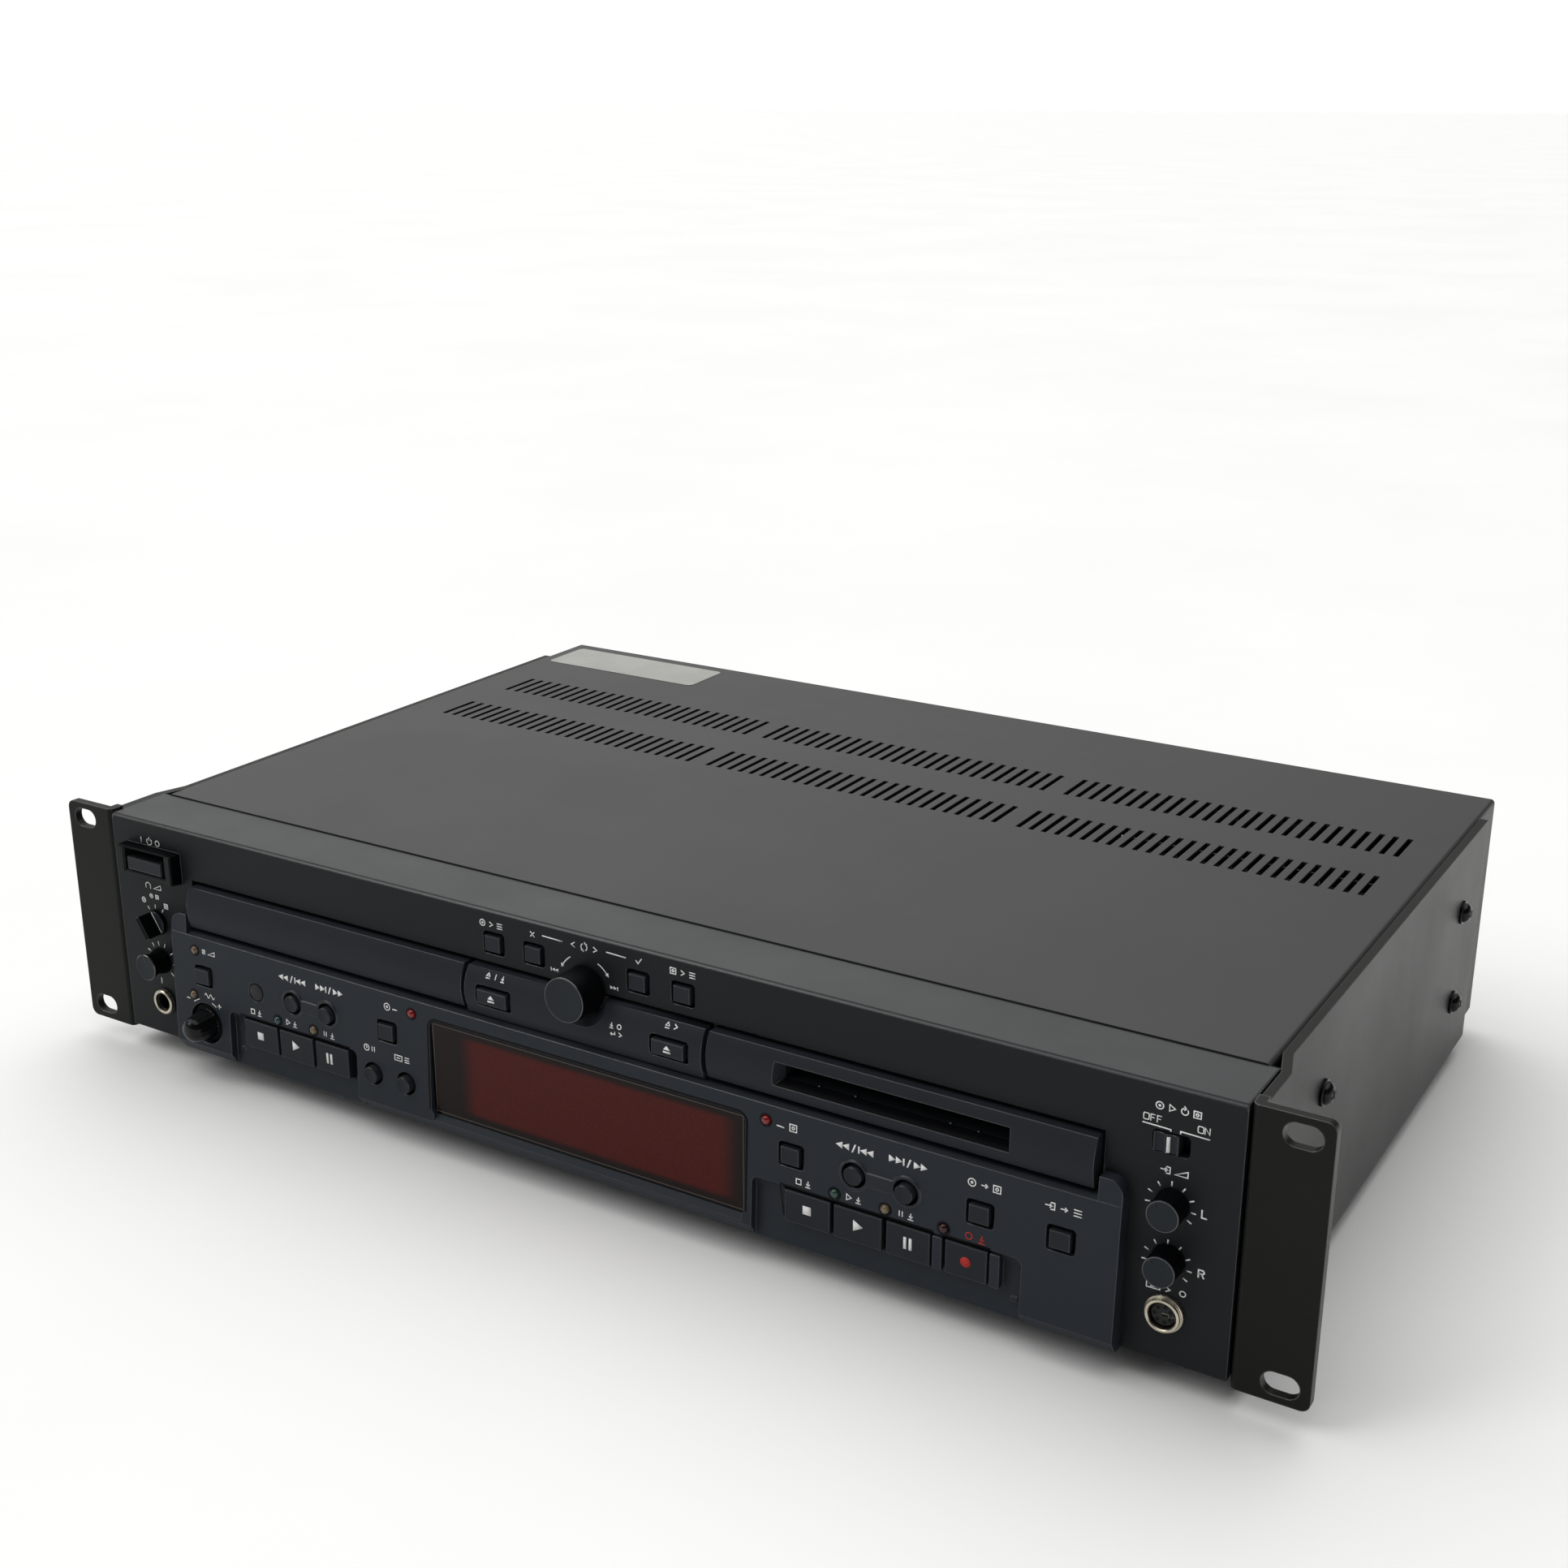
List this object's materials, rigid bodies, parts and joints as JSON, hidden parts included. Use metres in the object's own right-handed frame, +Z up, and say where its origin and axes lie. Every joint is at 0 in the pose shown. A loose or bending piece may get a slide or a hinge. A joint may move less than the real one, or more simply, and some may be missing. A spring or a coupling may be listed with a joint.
{
  "type": "rack-mount minidisc deck",
  "caption": "Two-unit rack recorder-player with a compact-disc drawer, a minidisc slot, a display window, transport keys and rear sockets, for use in an audio rack.",
  "frame": {"origin": "centre of the bounding box's bottom face, on the surface under the feet", "axes": "+X to the right seen from the front, -Y out of the front panel, +Z up"},
  "size_m": [0.4826, 0.309, 0.095],
  "materials": {
    "cover_paint": "fine matt texture",
    "bracket_paint": "satin",
    "zinc_steel": "zinc plated",
    "foot_rubber": "matt",
    "panel_plastic": "fine spark texture",
    "console_plastic": "fine spark texture",
    "inner_plastic": "satin",
    "circuit_board": "varnished",
    "window_tint": "polished",
    "flap_plastic": "satin",
    "socket_plastic": "satin",
    "plated_shell": "nickel",
    "knob_plastic": "satin",
    "pitch_plastic": "gloss",
    "key_plastic": "satin",
    "lamp_lens": "clear lens, unlit",
    "remote_filter": "polished"
  },
  "bodies": {
    "deck": {"bottom_chassis": "zinc_steel", "top_cover": "cover_paint", "rear_panel": "cover_paint", "feet": "foot_rubber", "rack_ear_left": "bracket_paint", "rack_ear_right": "bracket_paint", "front_panel": "panel_plastic", "control_console": "console_plastic", "centre_block": "console_plastic", "md_slot_bezel": "console_plastic", "md_mechanism": "zinc_steel", "cd_loader_frame": "inner_plastic", "front_board": "circuit_board", "display_window": "window_tint", "main_board": "circuit_board", "power_supply": "circuit_board", "phones_jack": "socket_plastic", "keyboard_socket": "plated_shell", "rca_jacks": "socket_plastic", "optical_ports": "socket_plastic", "ac_inlet": "socket_plastic", "indicator_lamps": "lamp_lens", "remote_window": "remote_filter"},
    "tray": {"cd_tray": "inner_plastic", "tray_front": "console_plastic"},
    "turntable": {"disc_turntable": "inner_plastic"},
    "flap": {"md_shutter": "flap_plastic"},
    "dial_stem": {"dial_shaft": "zinc_steel"},
    "dial": {"jog_dial": "console_plastic"},
    "level": {"phones_level_knob": "knob_plastic"},
    "selector": {"phones_selector_knob": "knob_plastic"},
    "input_left": {"input_left_knob": "knob_plastic"},
    "input_right": {"input_right_knob": "knob_plastic"},
    "pitch": {"pitch_knob": "pitch_plastic"},
    "slider": {"cont_play_slider": "key_plastic"},
    "power": {"power_button": "key_plastic"},
    "key_button_body": {"key_button": "key_plastic"},
    "cd_select_button_body": {"cd_select_button": "key_plastic"},
    "md_select_button_body": {"md_select_button": "key_plastic"},
    "dubbing_button_body": {"dubbing_button": "key_plastic"},
    "input_select_button_body": {"input_select_button": "key_plastic"},
    "cd_menu_button_body": {"cd_menu_button": "key_plastic"},
    "no_button_body": {"no_button": "key_plastic"},
    "yes_button_body": {"yes_button": "key_plastic"},
    "md_menu_button_body": {"md_menu_button": "key_plastic"},
    "open_close_button_body": {"open_close_button": "key_plastic"},
    "eject_button_body": {"eject_button": "key_plastic"},
    "cd_previous_button_body": {"cd_previous_button": "key_plastic"},
    "cd_next_button_body": {"cd_next_button": "key_plastic"},
    "time_button_body": {"time_button": "key_plastic"},
    "display_button_body": {"display_button": "key_plastic"},
    "md_previous_button_body": {"md_previous_button": "key_plastic"},
    "md_next_button_body": {"md_next_button": "key_plastic"},
    "cd_stop_key_body": {"cd_stop_key": "key_plastic"},
    "cd_play_key_body": {"cd_play_key": "key_plastic"},
    "cd_pause_key_body": {"cd_pause_key": "key_plastic"},
    "md_stop_key_body": {"md_stop_key": "key_plastic"},
    "md_play_key_body": {"md_play_key": "key_plastic"},
    "md_pause_key_body": {"md_pause_key": "key_plastic"},
    "record_key_body": {"record_key": "key_plastic"}
  },
  "joints": [
    {"name": "tray_slide", "type": "slide", "parent": "deck", "child": "tray", "axis": [0, -1, 0], "range_m": [0, 0.14]},
    {"name": "turntable_spin", "type": "hinge", "parent": "deck", "child": "turntable", "pos_m": [-0.1128, -0.0567, 0.06], "axis": [0, 0, 1], "continuous": true},
    {"name": "flap_swing", "type": "hinge", "parent": "deck", "child": "flap", "pos_m": [0.1125, -0.1316, 0.0724], "axis": [1, 0, 0], "range_deg": [0, 75], "stiffness_Nm_per_rad": 0.0002, "springref_deg": -17.19},
    {"name": "dial_press", "type": "slide", "parent": "deck", "child": "dial_stem", "axis": [0, 1, 0], "range_m": [0, 0.0008], "stiffness_N_per_m": 300, "springref_m": -0.0004},
    {"name": "dial_spin", "type": "hinge", "parent": "dial_stem", "child": "dial", "pos_m": [0, -0.1437, 0.076], "axis": [0, 1, 0], "continuous": true},
    {"name": "level_turn", "type": "hinge", "parent": "deck", "child": "level", "pos_m": [-0.1987, -0.1427, 0.039], "axis": [0, 1, 0], "range_deg": [-150, 150]},
    {"name": "selector_turn", "type": "hinge", "parent": "deck", "child": "selector", "pos_m": [-0.1987, -0.1427, 0.0544], "axis": [0, 1, 0], "range_deg": [0, 64]},
    {"name": "input_left_turn", "type": "hinge", "parent": "deck", "child": "input_left", "pos_m": [0.1986, -0.1427, 0.0587], "axis": [0, 1, 0], "range_deg": [-110, 190]},
    {"name": "input_right_turn", "type": "hinge", "parent": "deck", "child": "input_right", "pos_m": [0.1986, -0.1427, 0.0413], "axis": [0, 1, 0], "range_deg": [-110, 190]},
    {"name": "pitch_turn", "type": "hinge", "parent": "deck", "child": "pitch", "pos_m": [-0.1706, -0.1467, 0.0227], "axis": [0, 1, 0], "range_deg": [-150, 150]},
    {"name": "cont_play_slide", "type": "slide", "parent": "deck", "child": "slider", "axis": [1, 0, 0], "range_m": [0, 0.002]},
    {"name": "power_press", "type": "slide", "parent": "deck", "child": "power", "axis": [0, 1, 0], "range_m": [0, 0.003], "stiffness_N_per_m": 150, "springref_m": -0.001},
    {"name": "key_button_press", "type": "slide", "parent": "deck", "child": "key_button_body", "axis": [0, 1, 0], "range_m": [0, 0.0008], "stiffness_N_per_m": 250, "springref_m": -0.0004},
    {"name": "cd_select_button_press", "type": "slide", "parent": "deck", "child": "cd_select_button_body", "axis": [0, 1, 0], "range_m": [0, 0.0008], "stiffness_N_per_m": 250, "springref_m": -0.0004},
    {"name": "md_select_button_press", "type": "slide", "parent": "deck", "child": "md_select_button_body", "axis": [0, 1, 0], "range_m": [0, 0.0008], "stiffness_N_per_m": 250, "springref_m": -0.0004},
    {"name": "dubbing_button_press", "type": "slide", "parent": "deck", "child": "dubbing_button_body", "axis": [0, 1, 0], "range_m": [0, 0.0008], "stiffness_N_per_m": 250, "springref_m": -0.0004},
    {"name": "input_select_button_press", "type": "slide", "parent": "deck", "child": "input_select_button_body", "axis": [0, 1, 0], "range_m": [0, 0.0008], "stiffness_N_per_m": 250, "springref_m": -0.0004},
    {"name": "cd_menu_button_press", "type": "slide", "parent": "deck", "child": "cd_menu_button_body", "axis": [0, 1, 0], "range_m": [0, 0.0008], "stiffness_N_per_m": 250, "springref_m": -0.0004},
    {"name": "no_button_press", "type": "slide", "parent": "deck", "child": "no_button_body", "axis": [0, 1, 0], "range_m": [0, 0.0008], "stiffness_N_per_m": 250, "springref_m": -0.0004},
    {"name": "yes_button_press", "type": "slide", "parent": "deck", "child": "yes_button_body", "axis": [0, 1, 0], "range_m": [0, 0.0008], "stiffness_N_per_m": 250, "springref_m": -0.0004},
    {"name": "md_menu_button_press", "type": "slide", "parent": "deck", "child": "md_menu_button_body", "axis": [0, 1, 0], "range_m": [0, 0.0008], "stiffness_N_per_m": 250, "springref_m": -0.0004},
    {"name": "open_close_button_press", "type": "slide", "parent": "deck", "child": "open_close_button_body", "axis": [0, 1, 0], "range_m": [0, 0.0008], "stiffness_N_per_m": 250, "springref_m": -0.0004},
    {"name": "eject_button_press", "type": "slide", "parent": "deck", "child": "eject_button_body", "axis": [0, 1, 0], "range_m": [0, 0.0008], "stiffness_N_per_m": 250, "springref_m": -0.0004},
    {"name": "cd_previous_button_press", "type": "slide", "parent": "deck", "child": "cd_previous_button_body", "axis": [0, 1, 0], "range_m": [0, 0.0008], "stiffness_N_per_m": 250, "springref_m": -0.0004},
    {"name": "cd_next_button_press", "type": "slide", "parent": "deck", "child": "cd_next_button_body", "axis": [0, 1, 0], "range_m": [0, 0.0008], "stiffness_N_per_m": 250, "springref_m": -0.0004},
    {"name": "time_button_press", "type": "slide", "parent": "deck", "child": "time_button_body", "axis": [0, 1, 0], "range_m": [0, 0.0008], "stiffness_N_per_m": 250, "springref_m": -0.0004},
    {"name": "display_button_press", "type": "slide", "parent": "deck", "child": "display_button_body", "axis": [0, 1, 0], "range_m": [0, 0.0008], "stiffness_N_per_m": 250, "springref_m": -0.0004},
    {"name": "md_previous_button_press", "type": "slide", "parent": "deck", "child": "md_previous_button_body", "axis": [0, 1, 0], "range_m": [0, 0.0008], "stiffness_N_per_m": 250, "springref_m": -0.0004},
    {"name": "md_next_button_press", "type": "slide", "parent": "deck", "child": "md_next_button_body", "axis": [0, 1, 0], "range_m": [0, 0.0008], "stiffness_N_per_m": 250, "springref_m": -0.0004},
    {"name": "cd_stop_key_press", "type": "slide", "parent": "deck", "child": "cd_stop_key_body", "axis": [0, 1, 0], "range_m": [0, 0.0008], "stiffness_N_per_m": 250, "springref_m": -0.0004},
    {"name": "cd_play_key_press", "type": "slide", "parent": "deck", "child": "cd_play_key_body", "axis": [0, 1, 0], "range_m": [0, 0.0008], "stiffness_N_per_m": 250, "springref_m": -0.0004},
    {"name": "cd_pause_key_press", "type": "slide", "parent": "deck", "child": "cd_pause_key_body", "axis": [0, 1, 0], "range_m": [0, 0.0008], "stiffness_N_per_m": 250, "springref_m": -0.0004},
    {"name": "md_stop_key_press", "type": "slide", "parent": "deck", "child": "md_stop_key_body", "axis": [0, 1, 0], "range_m": [0, 0.0008], "stiffness_N_per_m": 250, "springref_m": -0.0004},
    {"name": "md_play_key_press", "type": "slide", "parent": "deck", "child": "md_play_key_body", "axis": [0, 1, 0], "range_m": [0, 0.0008], "stiffness_N_per_m": 250, "springref_m": -0.0004},
    {"name": "md_pause_key_press", "type": "slide", "parent": "deck", "child": "md_pause_key_body", "axis": [0, 1, 0], "range_m": [0, 0.0008], "stiffness_N_per_m": 250, "springref_m": -0.0004},
    {"name": "record_key_press", "type": "slide", "parent": "deck", "child": "record_key_body", "axis": [0, 1, 0], "range_m": [0, 0.0008], "stiffness_N_per_m": 250, "springref_m": -0.0004}
  ]
}
